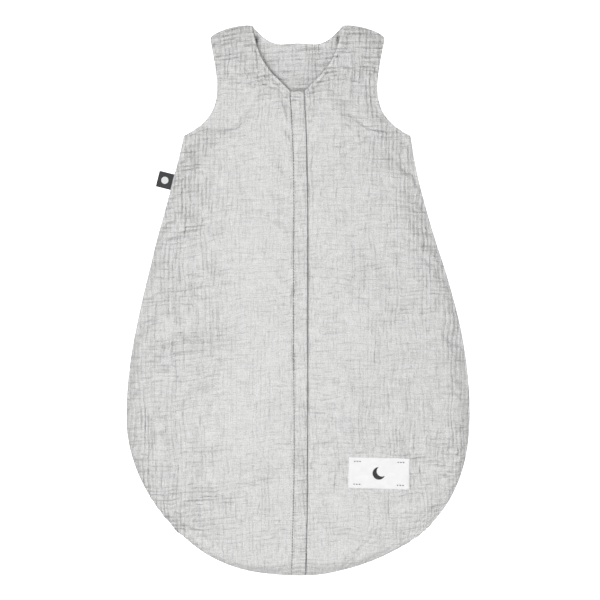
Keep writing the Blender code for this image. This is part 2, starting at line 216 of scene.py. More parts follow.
def half_grid(detail, inner_x, neck_line):
    """Plane points of the right half, from the hem to the neck and from the inner edge outwards."""
    columns = COLUMNS * detail + 1
    hem = hem_curve(CURVE_STEPS)[::-1]
    hem = hem[hem[:, 0] > inner_x + TINY]
    hem_start = np.array([inner_x, np.interp(inner_x, hem[:, 0], hem[:, 1])])
    hem = spread(np.concatenate([[hem_start], hem]), 2 * CURVE_STEPS + 1)
    widest_row = np.linspace((inner_x, HEM_CENTRE_Y), (HEM_HALF_WIDTH, HEM_CENTRE_Y), columns)
    rows = HEM_ROWS * detail + 1
    left = np.linspace(hem_start, (inner_x, HEM_CENTRE_Y), rows)
    bottom, right = spread(hem[: CURVE_STEPS + 1], columns), spread(hem[CURVE_STEPS:], rows)
    low_part = coons(bottom, widest_row, left, right)

    rows = BODY_ROWS * detail + 1
    ys = np.linspace(HEM_CENTRE_Y, NECK_BOTTOM_Y, rows)
    armhole = bezier(ARMHOLE, CURVE_STEPS // 2)
    side = np.concatenate([armhole[:-1], bezier(SIDE, CURVE_STEPS // 2)])[::-1]
    outer_x = np.interp(ys, side[:, 1], side[:, 0])
    u = np.linspace(0, 1, columns)[None, :]
    xs = inner_x + (outer_x[:, None] - inner_x) * u
    body = np.stack([xs, np.repeat(ys[:, None], columns, 1)], 2)

    rows = NECK_ROWS * detail + 1
    armhole = armhole[::-1]
    first = [outer_x[-1], NECK_BOTTOM_Y]
    right = spread(np.concatenate([[first], armhole[armhole[:, 1] > NECK_BOTTOM_Y + TINY]]), rows)
    shoulder = bezier(SHOULDER, CURVE_STEPS // 4)
    neck = neck_line[::-1]
    if neck_line is BACK_NECK_LINE:
        left = np.linspace((inner_x, NECK_BOTTOM_Y), (inner_x, neck[0, 1]), rows)
        top = spread(np.concatenate([neck, shoulder[1:]]), columns)
    else:
        left = spread(neck, rows)
        top = spread(shoulder, columns)
    high_part = coons(body[-1], top, left, right)
    return np.concatenate([low_part[:-1], body[:-1], high_part])


# Noise


def smooth_noise(x, y, cell_x, cell_y, seed):
    """Soft random hills between -1 and 1, stretched to cells of a given size."""
    rng = np.random.default_rng(seed)
    px = (x + 1.0) / cell_x
    py = (y + 1.0) / cell_y
    wide, tall = int(px.max()) + 3, int(py.max()) + 3
    lattice = rng.uniform(-1, 1, (wide, tall))
    ix, iy = np.floor(px).astype(int), np.floor(py).astype(int)
    fx, fy = px - ix, py - iy
    fx, fy = fx * fx * (3 - 2 * fx), fy * fy * (3 - 2 * fy)
    low = lattice[ix, iy] * (1 - fx) + lattice[ix + 1, iy] * fx
    high = lattice[ix, iy + 1] * (1 - fx) + lattice[ix + 1, iy + 1] * fx
    return low * (1 - fy) + high * fy


def smooth_step(value, low, high):
    share = np.clip((value - low) / (high - low), 0, 1)
    return share * share * (3 - 2 * share)


def bell(value, centre, width):
    """1 at the centre, falling away on both sides."""
    return np.exp(-(((value - centre) / width) ** 2))


def round_off(distance, reach):
    """A quarter circle: 0 at distance 0 and 1 from reach on."""
    share = np.clip(distance / reach, 0, 1)
    return np.sqrt(1 - (1 - share) ** 2)


def swell(distance, reach):
    """A cushion's profile: it leaves the seam at a slant and levels out at full height."""
    share = np.clip(distance / reach, 0, 1)
    return 1 - (1 - share) ** 2.6


# Height of the front


def fullness(x, y, inset=0.0):
    """How far the front has risen: 0 at its seams, or at inset in from them, and 1 in the middle."""
    towards_side = np.where(y < HEM_CENTRE_Y, smooth_step(np.abs(x), 0, 0.12), 1.0)
    reach = HEM_SWELL + (SIDE_SWELL - HEM_SWELL) * towards_side
    seams = swell(distance_to(SEAM_LINE, x, y) - inset, reach)
    shoulder = swell(distance_to(SHOULDER_LINE, x, y) - inset, SHOULDER_SWELL)
    armhole = round_off(distance_to(ARMHOLE_LINE, x, y), ARMHOLE_SWELL)
    return seams * shoulder * (ARMHOLE_EDGE_RISE + (1 - ARMHOLE_EDGE_RISE) * armhole)


def bends(y, places, offsets):
    """A soft curve through offsets, in millimetres, given at places along the bag."""
    steps = [np.interp(y + shift, places, offsets) for shift in (-0.012, -0.004, 0.004, 0.012)]
    return sum(steps) / len(steps) * MM


def strip_shift(y):
    """Sideways wander of the placket and of the panel edges beside it."""
    places = (-0.35, -0.32, -0.27, -0.20, -0.13, 0.12, 0.20, 0.244, 0.262, 0.36)
    return bends(y, places, (1.3, 2.0, 3.2, 3.6, 3.9, 4.0, 2.5, 0.7, -0.9, -1.2))


def strip_narrowing(y):
    """How much further the placket's sewn edge wanders than its free edge."""
    places = (-0.31, -0.25, -0.20, -0.14, -0.06, 0.0, 0.12, 0.17, 0.22)
    return bends(y, places, (0.0, 0.3, 1.2, 0.8, -0.2, -0.4, 0.3, 0.9, 0.3))


def outline_lean(y):
    """Sideways wander of the whole outline, which isn't quite even on its two sides."""
    places = (-0.350, -0.330, -0.304, -0.266, -0.228, -0.17, -0.03, 0.04, 0.078, 0.155, 0.21, 0.36)
    return bends(y, places, (-6.0, -3.0, 3.4, 4.7, 2.8, 0.4, 0.9, -0.4, -2.3, -2.6, -0.7, -0.4))


def lean_at(x, y):
    return outline_lean(y) * smooth_step(np.abs(x), 0.02, 0.06)


def shifted(x, y):
    """The opening wanders one way and the outline another, each fading out towards the other."""
    near_opening = 1 - smooth_step(np.abs(x), 0.012, 0.075)
    sewn_edge = np.where(x < 0, strip_narrowing(y), 0) * (1 - smooth_step(np.abs(x), 0.010, 0.045))
    return x + strip_shift(y) * near_opening + sewn_edge + lean_at(x, y)


def pinch_shares(x, y):
    """How strongly the muslin is pinched at each place into upright and into level creases."""
    near_left = bell(x + 0.140 + 0.12 * np.minimum(y, 0.0), 0, 0.048)
    near_left = near_left * smooth_step(y, -0.16, 0.03) * (1 - smooth_step(y, 0.215, 0.26))
    shoulders = smooth_step(y, 0.235, 0.31)
    low_left = smooth_step(-x, 0.06, 0.16) * smooth_step(-y, 0.02, 0.09)
    right_side = smooth_step(x, 0.0, 0.10) * smooth_step(y, -0.29, -0.20)
    upright = 0.40 + 0.62 * near_left + 0.50 * shoulders + 0.50 * low_left + 0.38 * right_side
    level = 0.50 + 0.52 * near_left + 0.70 * shoulders + 0.55 * low_left + 0.28 * right_side
    patches = 1 + 0.35 * smooth_noise(x, y, 0.030, 0.060, SEED + 21)
    level_patches = 1 + 0.35 * smooth_noise(x, y, 0.060, 0.034, SEED + 22)
    return upright * patches, level * level_patches


def crinkle(x, y, strength, seed):
    """Displacement of crinkled muslin, and a share from 0 to 1 that marks the bottoms of its wrinkles, where
    the shader paints shade.
    """
    upright_share, level_share = pinch_shares(x, y)
    bend_x = x + 1.8 * MM * smooth_noise(x, y, 0.040, 0.050, seed) + 0.03 * np.minimum(y, 0)
    bend_y = y - LEVEL_SLOPE * np.minimum(x, 0) + 2.6 * MM * smooth_noise(x, y, 0.050, 0.060, seed + 1)
    upright = smooth_noise(bend_x, bend_y, WRINKLE_PITCH, 60 * MM, seed + 2)
    level = smooth_noise(bend_x, bend_y, 30 * MM, WRINKLE_PITCH, seed + 3)
    puffs = smooth_noise(bend_x, bend_y, 6.3 * MM, 7.0 * MM, seed + 6)
    lift = 0.15 * puffs + 0.20 * upright * upright_share + 0.23 * level * level_share
    valley = np.clip(-upright - 0.15, 0, 1) * upright_share
    valley = valley + np.clip(-level - 0.15, 0, 1) * level_share
    return lift * strength * MM, np.clip(0.5 * valley, 0, 1)


# Meshes from grids


def new_object(name, data):
    item = bpy.data.objects.new(name, data)
    bpy.context.scene.collection.objects.link(item)
    return item


def smooth_piece(name, mesh, sharp_degrees):
    """A new piece, shaded smooth apart from its sharp edges. Its texture coordinates are metres at rest."""
    mesh.shade_smooth()
    mesh.set_sharp_from_angle(angle=math.radians(sharp_degrees))
    co = np.zeros(len(mesh.vertices) * 3, np.float32)
    mesh.vertices.foreach_get("co", co)
    index = np.zeros(len(mesh.loops), np.int32)
    mesh.loops.foreach_get("vertex_index", index)
    mesh.uv_layers.new(name="UVMap").data.foreach_set("uv", co.reshape(-1, 3)[index][:, :2].ravel())
    return new_object(name, mesh)


def normals_of(points):
    normal = np.cross(np.gradient(points, axis=1), np.gradient(points, axis=0))
    return normal / np.maximum(np.linalg.norm(normal, axis=2, keepdims=True), 1e-12)


def refine(grid, factor):
    """Adds factor-1 smooth points between neighbours, first down the rows and then along them."""
    for axis in (0, 1):
        moved = np.moveaxis(grid, axis, 0)
        before = np.concatenate([2 * moved[:1] - moved[1:2], moved, 2 * moved[-1:] - moved[-2:-1]])
        pieces = []
        for step in range(factor):
            t = step / factor
            a, b, c, d = before[:-3], before[1:-2], before[2:-1], before[3:]
            curve = (2 * a - 5 * b + 4 * c - d) * t**2
            pieces.append(0.5 * (2 * b + (c - a) * t + curve + (3 * b - a - 3 * c + d) * t**3))
        woven = np.stack(pieces, 1).reshape((-1,) + moved.shape[1:])
        grid = np.moveaxis(np.concatenate([woven, moved[-1:]]), 0, axis)
    return grid


def quads_of(rows, columns, offset, flip):
    index = np.arange(rows * columns).reshape(rows, columns) + offset
    corners = [index[:-1, :-1], index[:-1, 1:], index[1:, 1:], index[1:, :-1]]
    if flip:
        corners = corners[::-1]
    return np.stack(corners, 2).reshape(-1, 4).tolist()


def border(rows, columns):
    """Indices round the edge of a grid, anticlockwise."""
    low = [(0, c) for c in range(columns - 1)]
    right = [(r, columns - 1) for r in range(rows - 1)]
    high = [(rows - 1, c) for c in range(columns - 1, 0, -1)]
    left = [(r, 0) for r in range(rows - 1, 0, -1)]
    return [r * columns + c for r, c in low + right + high + left]


def closed_cloth(name, upper, lower, painted_shade=None):
    """A closed sheet between an upper grid and a lower grid, one of which may be coarser.

    The last argument is a share for each point of the finer grid, which its shader paints as shade in wrinkle
    valleys, seams and hollows; below 0 it paints highlights.
    """
    rows, columns = upper.shape[:2]
    low_rows, low_columns = lower.shape[:2]
    offset = rows * columns
    faces = quads_of(rows, columns, 0, False) + quads_of(low_rows, low_columns, offset, True)
    many = border(rows, columns)
    few = [offset + i for i in border(low_rows, low_columns)]
    turned = len(many) < len(few)
    if turned:
        many, few = few, many
    share = len(many) // len(few)
    for i, start in enumerate(few):
        after = few[(i + 1) % len(few)]
        fan = [many[(i * share + k) % len(many)] for k in range(share + 1)]
        face = [start, after] + fan[::-1]
        faces.append(face[::-1] if turned else face)
    points = np.concatenate([upper.reshape(-1, 3), lower.reshape(-1, 3)])
    mesh = bpy.data.meshes.new(name)
    mesh.from_pydata(points.tolist(), [], faces)
    item = smooth_piece(name, mesh, 75)
    values = np.zeros(len(points))
    if painted_shade is not None:
        steps = [(len(painted_shade) - 1) // (len(grid) - 1) for grid in (upper, lower)]
        values = np.concatenate([painted_shade[::step, ::step].ravel() for step in steps])
    upright, level = pinch_shares(points[:, 0], points[:, 1])
    for mark_name, marks in (("painted_shade", values), ("upright", upright), ("level", level)):
        mark = mesh.attributes.new(mark_name, "FLOAT", "POINT")
        mark.data.foreach_set("value", marks.astype(np.float32))
    return item


# Cloth simulation


SETTLE_FRAMES = 20
SETTLE_REACH = 4 * MM
COTTON = {
    "vertex_group_mass": "held",
    "use_pressure": True,
    "uniform_pressure_force": 0.25,
    "quality": 6,
    "mass": 0.12,
    "tension_stiffness": 20,
    "compression_stiffness": 12,
    "shear_stiffness": 6,
    "bending_stiffness": 0.08,
    "tension_damping": 8,
    "compression_damping": 8,
    "shrink_min": -0.035,
}


def settle(name, rest, held):
    """Lets a coarse grid of cloth billow between its held points, and returns how far each point moved."""
    rows, columns = rest.shape[:2]
    mesh = bpy.data.meshes.new(name)
    mesh.from_pydata(rest.reshape(-1, 3).tolist(), [], quads_of(rows, columns, 0, False))
    sheet = new_object(name, mesh)
    group = sheet.vertex_groups.new(name="held")
    group.add(np.flatnonzero(held.ravel()).tolist(), 1.0, "REPLACE")
    cloth = sheet.modifiers.new("cloth", "CLOTH")
    for key, value in COTTON.items():
        setattr(cloth.settings, key, value)
    cloth.settings.effector_weights.gravity = 0
    cloth.point_cache.frame_start = 1
    cloth.point_cache.frame_end = SETTLE_FRAMES
    scene = bpy.context.scene
    for number in range(1, SETTLE_FRAMES + 1):
        scene.frame_set(number)
    evaluated = sheet.evaluated_get(bpy.context.evaluated_depsgraph_get())
    moved = np.zeros(rows * columns * 3, np.float32)
    evaluated.data.vertices.foreach_get("co", moved)
    moved = moved.reshape(rest.shape).astype(float) - rest
    bpy.data.objects.remove(sheet, do_unlink=True)
    scene.frame_set(1)
    length = np.linalg.norm(moved, axis=2, keepdims=True)
    return moved * np.minimum(1, SETTLE_REACH / np.maximum(length, 1e-9))


# Materials


class Nodes:
    """A short way to write a node tree."""

    def __init__(self, owner):
        owner.use_nodes = True
        self.owner = owner
        self.tree = owner.node_tree

    def add(self, kind, inputs=None, **settings):
        node = self.tree.nodes.new(kind)
        for key, value in settings.items():
            setattr(node, key, value)
        for key, value in (inputs or {}).items():
            self.feed(node.inputs[key], value)
        return node

    def feed(self, socket, value):
        if isinstance(value, bpy.types.NodeSocket):
            self.tree.links.new(value, socket)
        else:
            socket.default_value = value

    def math(self, operation, first, second=0.0):
        return self.add("ShaderNodeMath", {0: first, 1: second}, operation=operation).outputs[0]

    def times(self, first, second):
        return self.math("MULTIPLY", first, second)

    def plus(self, *parts):
        total = parts[0]
        for part in parts[1:]:
            total = self.math("ADD", total, part)
        return total

    def less(self, first, second):
        return self.math("SUBTRACT", first, second)

    def stretch(self, coordinates, scale, offset=(0, 0, 0)):
        inputs = {"Vector": coordinates, "Scale": scale, "Location": offset}
        return self.add("ShaderNodeMapping", inputs).outputs[0]

    def noise(self, coordinates, detail=2.0, roughness=0.5):
        inputs = {"Vector": coordinates, "Scale": 1.0, "Detail": detail, "Roughness": roughness}
        return self.add("ShaderNodeTexNoise", inputs).outputs[0]

    def wave(self, coordinates, per_metre, direction, distortion, detail_scale):
        inputs = {"Vector": coordinates, "Distortion": distortion, "Detail Scale": detail_scale}
        inputs["Scale"] = per_metre / 20 * 2 * math.pi
        node = self.add("ShaderNodeTexWave", inputs, wave_type="BANDS", bands_direction=direction)
        return node.outputs["Fac"]

    def remap(self, value, low, high, to_low, to_high, smooth=False):
        inputs = {"Value": value, "From Min": low, "From Max": high, "To Min": to_low, "To Max": to_high}
        kind = "SMOOTHSTEP" if smooth else "LINEAR"
        return self.add("ShaderNodeMapRange", inputs, interpolation_type=kind).outputs[0]

    def swing(self, noise, reach):
        """Turns a noise into a value that swings from reach down to -reach."""
        return self.remap(noise, 0.3, 0.7, reach, -reach)

    def pinches(self, across, along, pitch, run, width, seed):
        """Lines about a pitch apart, each fading in and out along its run: the line, which the muslin paints
        as shade, and its soft dip.
        """
        place = self.math("DIVIDE", across, pitch)
        number = self.math("FLOOR", place)
        chance = self.add("ShaderNodeTexWhiteNoise", {"W": self.plus(number, seed)}, noise_dimensions="1D")
        centre = self.remap(chance.outputs["Value"], 0, 1, 0.36, 0.64)
        off = self.math("ABSOLUTE", self.less(self.math("FRACT", place), centre))
        key = {0: self.times(number, 7.37), 1: self.math("DIVIDE", along, run), 2: seed}
        key = self.add("ShaderNodeCombineXYZ", key).outputs[0]
        fade = self.remap(self.noise(key, detail=2.5), 0.34, 0.62, 0.2, 1, True)
        line = self.remap(off, 0, width / pitch, 1, 0, True)
        dip = self.remap(off, 0, 0.5, 1, 0, True)
        return self.times(line, fade), self.times(dip, fade)

    def shaded(self, colour, shade):
        grey = self.add("ShaderNodeCombineColor", {0: shade, 1: shade, 2: shade}).outputs[0]
        node = self.add("ShaderNodeMix", data_type="RGBA", blend_type="MULTIPLY")
        for socket, value in ((0, 1.0), (6, colour), (7, grey)):
            self.feed(node.inputs[socket], value)
        return node.outputs[2]

    def bump(self, height, distance, strength=1.0, normal=None):
        inputs = {"Height": height, "Distance": distance, "Strength": strength}
        if normal is not None:
            inputs["Normal"] = normal
        return self.add("ShaderNodeBump", inputs).outputs[0]

    def finish(self, shader, values):
        for key, value in values.items():
            self.feed(self.tree.nodes[shader].inputs[key], value)
        return self.owner

    def surface(self, values):
        return self.finish("Principled BSDF", values)


def material(name):
    return Nodes(bpy.data.materials.new(name))


def muslin(name, colour, painted_shade_strength, base_share=0.0):
    """Double-gauze cotton: a grid of fine pinched lines over an open plain weave, with cloudy tone; the
    pinched lines and each piece's shade share are painted shade.
    """
    n = material(name)
    uv = n.add("ShaderNodeUVMap", uv_map="UVMap").outputs[0]
    marks = [n.add("ShaderNodeAttribute", attribute_name=mark) for mark in ("painted_shade", "upright", "level")]
    painted_shade, upright_share, level_share = (mark.outputs["Fac"] for mark in marks)
    upright_share, level_share = n.plus(upright_share, base_share), n.plus(level_share, base_share)
    x, y, _ = n.add("ShaderNodeSeparateXYZ", {0: uv}).outputs

    def wander(size, offset, reach):
        return n.times(n.less(n.noise(n.stretch(uv, (*size, 1), offset), detail=1), 0.5), reach)

    across_x = n.plus(x, wander((24, 17), (0, 0, 0), 0.014), wander((150, 130), (0, 0, 0), 0.0026))
    slope = n.times(n.math("MINIMUM", x, 0.0), -LEVEL_SLOPE)
    soft, sharp = wander((15, 19), (3.7, 1.9, 0), 0.018), wander((130, 150), (2.3, 5.1, 0), 0.0026)
    across_y = n.plus(y, slope, soft, sharp)
    upright, upright_dip = n.pinches(across_x, y, 5.4 * MM, 40 * MM, 1.1 * MM, 5.0)
    level, level_dip = n.pinches(across_y, x, 6.3 * MM, 26 * MM, 1.05 * MM, 9.0)
    fine_upright, fine_upright_dip = n.pinches(across_x, y, 2.5 * MM, 9 * MM, 0.7 * MM, 14.0)
    fine_level, fine_level_dip = n.pinches(across_y, x, 2.7 * MM, 10 * MM, 0.7 * MM, 21.0)
    big = n.math("MAXIMUM", n.times(upright, upright_share), n.times(level, level_share))
    small = n.math("MAXIMUM", fine_upright, fine_level)
    slubs = n.noise(n.stretch(uv, (700, 700, 1)), 3, 0.65)
    ribs = n.noise(n.stretch(uv, (430, 62, 1)), 3, 0.6)
    rungs = n.noise(n.stretch(uv, (70, 400, 1), (1.3, 4.1, 0)), 3, 0.6)
    threads = n.math("MAXIMUM", n.wave(uv, 1150, "X", 1.2, 3.0), n.wave(uv, 1050, "Y", 1.2, 3.0))
    clouds = n.noise(n.stretch(uv, (9, 7, 1)), 3, 0.55)
    # Painted shade: each piece's shade share and the pinched lines. The rest is the cloth's own tone: streaks
    # along and across, stronger where it is more pinched, slubs, lighter threads and slow clouds.
    dark = n.plus(
        n.times(painted_shade, painted_shade_strength),
        n.times(big, 0.19),
        n.times(small, 0.13),
        n.times(n.swing(ribs, 1), n.plus(n.times(upright_share, 0.03), 0.038)),
        n.times(n.swing(rungs, 1), n.plus(n.times(level_share, 0.03), 0.032)),
        n.swing(slubs, 0.18),
        n.remap(threads, 0.0, 1.0, 0.03, -0.01),
        n.swing(clouds, 0.008),
    )
    relief = n.bump(n.plus(threads, slubs), 0.00010, 0.8)
    relief = n.bump(n.plus(ribs, rungs), 0.0009, 1.0, relief)
    relief = n.bump(n.plus(fine_upright_dip, fine_level_dip), -0.00022, 1.0, relief)
    dips = n.plus(n.times(upright_dip, upright_share), n.times(level_dip, level_share))
    cotton = {"Roughness": 0.92, "Sheen Weight": 0.08, "Sheen Roughness": 0.5, "Specular IOR Level": 0.2}
    cotton["Base Color"] = n.shaded(colour, n.less(1.0, dark))
    return n.surface({**cotton, "Normal": n.bump(dips, -0.0011, 1.0, relief)})


def plain_weave(name, colour, per_metre, roughness, depth, sheen=0.0, contrast=0.12):
    """Tight ribbon cloth, such as a woven label or a zip tape."""
    n = material(name)
    uv = n.add("ShaderNodeUVMap", uv_map="UVMap").outputs[0]
    threads = n.times(n.wave(uv, per_metre, "X", 0.6, 4.0), n.wave(uv, per_metre * 0.8, "Y", 0.6, 4.0))
    cloud = n.noise(n.stretch(uv, (120, 120, 1)), 3)
    shade = n.plus(n.remap(threads, 0, 1, 1 - contrast, 1.0), n.swing(cloud, -0.03))
    finish = {"Roughness": roughness, "Sheen Weight": sheen, "Normal": n.bump(threads, depth, 0.8)}
    return n.surface({**finish, "Base Color": n.shaded(colour, shade)})


def hard(name, colour, roughness, metallic, grain):
    """Moulded plastic or plated metal with a faint uneven finish."""
    n = material(name)
    speckle = n.noise(n.stretch(n.add("ShaderNodeTexCoord").outputs["Object"], (900, 900, 900)), 4)
    uneven = n.remap(speckle, 0.3, 0.7, roughness - 0.07, roughness + 0.09)
    finish = {"Base Color": colour, "Metallic": metallic, "Roughness": uneven}
    return n.surface({**finish, "Normal": n.bump(speckle, grain, 0.5)})


MUSLIN = muslin("muslin_outer", (0.700, 0.700, 0.694, 1), 0.07)
MUSLIN_STRIP = muslin("muslin_placket", (0.713, 0.713, 0.707, 1), 0.17, 0.45)
# The lining is the same muslin as the outer cloth, painted a little lighter to lift the shade inside the bag.
MUSLIN_LINING = muslin("muslin_lining", (0.713, 0.713, 0.708, 1), 0.10)
LABEL_CLOTH = plain_weave("woven_label", (0.80, 0.80, 0.80, 1), 2600, 0.55, 0.00004, 0.1, 0.05)
MOTIF_THREAD = plain_weave("motif_thread", (0.020, 0.020, 0.022, 1), 2200, 0.7, 0.00005)
TAG_CLOTH = plain_weave("tag_ribbon", (0.040, 0.041, 0.045, 1), 1500, 0.75, 0.00006, 0.2, 0.35)
TAG_MOTIF = plain_weave("tag_motif", (0.74, 0.74, 0.74, 1), 1500, 0.7, 0.00006)
ZIP_TAPE = plain_weave("zip_tape", (0.50, 0.50, 0.50, 1), 1300, 0.85, 0.00008, 0.1, 0.3)
# The seam thread is painted dark as the shadow in the seam's valley.
SEAM_SHADOW_THREAD = plain_weave("seam_shadow_thread", (0.12, 0.12, 0.12, 1), 3000, 0.8, 0.00003)
ZIP_PLASTIC = hard("zip_plastic", (0.55, 0.55, 0.55, 1), 0.38, 0.0, 0.00001)
ZIP_METAL = hard("zip_metal", (0.19, 0.187, 0.183, 1), 0.42, 1.0, 0.00001)


def dress(item, finish, slot_name, *nodes, body=None):
    """Gives a piece its material, hides the nodes that it stands for and hangs it on the body that it rides
    on. slot_name is not used.
    """
    item.data.materials.clear()
    item.data.materials.append(finish)
    if nodes:
        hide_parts(*nodes)
    if body:
        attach(item, body)
    return item


# Cloth pieces


def strip_gap(y):
    """Width of the open slot along the placket's free edge."""
    places = (-0.35, -0.32, -0.27, -0.13, 0.0, 0.12, 0.20, 0.244, 0.262)
    return bends(y, places, (1.6, 0.9, 1.2, 1.1, 1.9, 1.2, 1.5, 1.0, 0.4))


def laid(grid, side):
    """Plane points of one side, with the wander of the opening."""
    x = grid[..., 0] * side
    y = grid[..., 1]
    return shifted(x, y), y


def neck_sag(neck, full):
    """How far the front sinks towards the neck."""
    return NECK_SAG * (1 - smooth_step(neck, 0.0, NECK_SAG_REACH)) * full


def front_base(x, y, inner):
    """Height of the upper face of the front's outer cloth, before creases."""
    full = fullness(x, y)
    z = SEAM_TOP_Z + (TOP_Z - SEAM_TOP_Z) * full
    neck = distance_to(NECK_LINE, x, y)
    edge = np.minimum(neck, distance_to(ARMHOLE_LINE, x, y))
    z = z - neck_sag(neck, full)
    z = z + 0.5 * MM * bell(neck, 2.0 * MM, 1.6 * MM)
    z = z - 0.45 * MM * bell(neck - RIM_WIDTH, 1.0 * MM, 1.0 * MM)
    z = z - 0.6 * MM * (1 - round_off(edge, 1.0 * MM))
    return z - 0.5 * MM * bell(inner, 0, 0.9 * MM), full


def zip_line_z(y):
    """Height of the front's cloth along the zip, level above the chest."""
    return front_base(np.zeros_like(y), np.minimum(y, 0.2), np.full_like(y, 0.1))[0]


def front_grid(side, detail, inner_x):
    """Plane points of one front half, with columns that always run left to right."""
    grid = half_grid(detail, inner_x, NECK_LINE)
    return grid[:, ::-1] if side < 0 else grid


def seam_distance(x, y):
    """Distance to the nearest sewn edge: the sides, the hem or the shoulder."""
    return np.minimum(distance_to(SEAM_LINE, x, y), distance_to(SHOULDER_LINE, x, y))


def tucked(x, y, depth):
    """Plane points pulled in from the sewn edges, so that a lining's edge stays hidden inside the seam."""
    away = [distance_to(line, x, y) for line in (SEAM_LINE, SHOULDER_LINE)]
    side, top = (depth * (1 - smooth_step(distance, 0.0, 0.015)) for distance in away)
    below = np.minimum(y - HEM_CENTRE_Y, 0)
    reach = np.maximum(np.hypot(x, below), TINY)
    return x - side * x / reach, y - side * below / reach - top


def label_calm(x, y):
    """1 where the front label holds the cloth flat, falling to 0 round it."""
    low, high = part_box("front_label")
    outside = np.maximum(np.maximum(low.x - x, x - high.x), np.maximum(low.y - y, y - high.y))
    return 1 - smooth_step(outside, -0.002, 0.008)


def front_cloth(word, layer, upper, lower, painted_shade, finish):
    """A closed cloth of one front half, dressed and baked in place."""
    item = closed_cloth(f"front_{word}_{layer}", upper, lower, painted_shade)
    dress(item, finish, f"muslin_{layer}", f"front_panel_{word}_{layer}", f"front_lapel_{word}_{layer}")
    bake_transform(item)


def edge_bend(reach):
    """Where along the bag the panel's edge lies reach from the fold line."""
    slope = FOLD_DIRECTION.x / FOLD_DIRECTION.y
    return FOLD_START.y + (reach / FOLD_DIRECTION.y - (FOLD_START.x - OPENING_HALF_WIDTH)) / slope


EDGE_BEND_START, EDGE_BEND_END = edge_bend(BEND_START), edge_bend(BEND_END)


def bend_with_edge(item):
    """Bakes the piece's placement into its points."""
    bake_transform(item)


def front_half(side, word):
    inner_x = OPENING_HALF_WIDTH
    coarse = front_grid(side, 1, inner_x)
    x, y = laid(coarse, side)
    z, full = front_base(coarse[..., 0], y, coarse[..., 0] - inner_x)
    ripple = 0.35 * MM * smooth_noise(x, y, 0.018, 0.024, SEED + side) * full
    rest = np.stack([x, y, z + ripple], 2)
    held = label_calm(x, y) > 0.5
    held[[0, -1]] = True
    held[:, [0, -1]] = True
    moved = settle(f"settle_{word}", rest, held)

    fine = front_grid(side, FRONT_DETAIL, inner_x)
    x, y = laid(fine, side)
    flat_x = fine[..., 0]
    inner = flat_x - inner_x
    z, full = front_base(flat_x, y, inner)
    slot = strip_gap(y) / 2 if side > 0 else 0.0
    x = x + side * slot * (1 - smooth_step(inner, 0.0, 0.02))
    points = np.stack([x, y, z], 2) + refine(moved, FRONT_DETAIL)
    normal = normals_of(points)
    neck = distance_to(NECK_LINE, flat_x, y)
    # Painted light along the neck: a painted highlight on the rolled edge and a thin painted shade just
    # inside it.
    rim = bell(neck, 1.9 * MM, 1.5 * MM) - 0.7 * bell(neck, 4.4 * MM, 0.9 * MM)
    calm = 1 - 0.85 * label_calm(x, y)
    edge = smooth_step(np.minimum(neck, inner), 0.0, 6 * MM)
    edge = edge * smooth_step(seam_distance(flat_x, y), 0.0, 12 * MM)
    lift, painted_shade = crinkle(x, y, 1.0, SEED)
    # Painted shade over the right half, which lies turned a little from the light.
    right_half_shade = 0.35 * smooth_step(x, 0.02, 0.11) * smooth_step(y, -0.25, -0.12)
    painted_shade = painted_shade * calm * (0.3 + 0.7 * edge) - 1.4 * rim + right_half_shade
    # Painted shadow along the edge at the zip: strong on the left, where the placket is sewn on, faint on the
    # right, under its free edge.
    painted_shade = painted_shade + (2.9 if side < 0 else 0.4) * bell(inner, 0, 1.0 * MM)
    upper = points + normal * (lift * calm * (0.06 + 0.94 * edge))[..., None]
    lower = (points - normal * OUTER_THICKNESS)[::2, ::2]
    lower[..., 2] = np.maximum(lower[..., 2], SEAM_BOTTOM_Z + 0.5 * MM)
    front_cloth(word, "outer", upper, lower, painted_shade, MUSLIN)
    front_lining(side, word, moved)


def front_lining(side, word, moved):
    """The lining hangs under the outer cloth, reaches its neck and arm edges, and stops inside the seams."""
    grid = front_grid(side, LINING_DETAIL, OPENING_HALF_WIDTH + 0.6 * MM)
    flat_x, y = tucked(grid[..., 0], grid[..., 1], LINING_TUCK)
    neck = distance_to(NECK_LINE, flat_x, y)
    inner = flat_x - OPENING_HALF_WIDTH
    facing = smooth_step(y, NECK_BOTTOM_Y - 0.004, NECK_BOTTOM_Y + 0.008)
    # The left lining's neck edge peeks out past the outer cloth to carry a painted shadow; the right one only
    # a little.
    shadow_reveal = (1.1 * MM if side < 0 else 0.3 * MM) * facing * (1 - smooth_step(neck, 0.0, 5 * MM))
    x, y = laid(np.stack([flat_x - shadow_reveal, y], 2), side)
    full = fullness(flat_x, y, LINING_TUCK / 2)
    edge = np.minimum(neck, distance_to(ARMHOLE_LINE, flat_x, y))
    seam_z = SEAM_BOTTOM_Z + LINING_THICKNESS + 0.5 * MM
    z = seam_z + (TOP_Z - 3.3 * MM - seam_z) * full - neck_sag(neck, full)
    z = z + 1.2 * MM * (1 - smooth_step(edge, 0.0, 0.012)) - 1.9 * MM * bell(inner, 0, 7 * MM)
    ceiling = front_base(flat_x, y, inner)[0] - OUTER_THICKNESS - EDGE_GAP
    z = np.maximum(np.minimum(z, ceiling), seam_z - 0.3 * MM)
    points = np.stack([x, y, z], 2) + refine(moved, LINING_DETAIL)
    lift, painted_shade = crinkle(x, y, 0.6, SEED + 40)
    # Painted shadow along the neck edge, where the front lies close over the back: strong on the left, faint
    # on the right.
    painted_shade = painted_shade + (5.0 if side < 0 else 1.2) * facing * bell(neck, 0, 1.5 * MM)
    lift = lift * smooth_step(edge, 0.0, 6 * MM) * smooth_step(seam_distance(flat_x, y), 0.0, 0.02)
    lower = points - np.array([0, 0, LINING_THICKNESS])
    lower[..., 2] = np.maximum(lower[..., 2] - np.maximum(lift, -0.3 * MM), SEAM_BOTTOM_Z)
    front_cloth(word, "lining", points[::2, ::2], lower, painted_shade, MUSLIN_LINING)


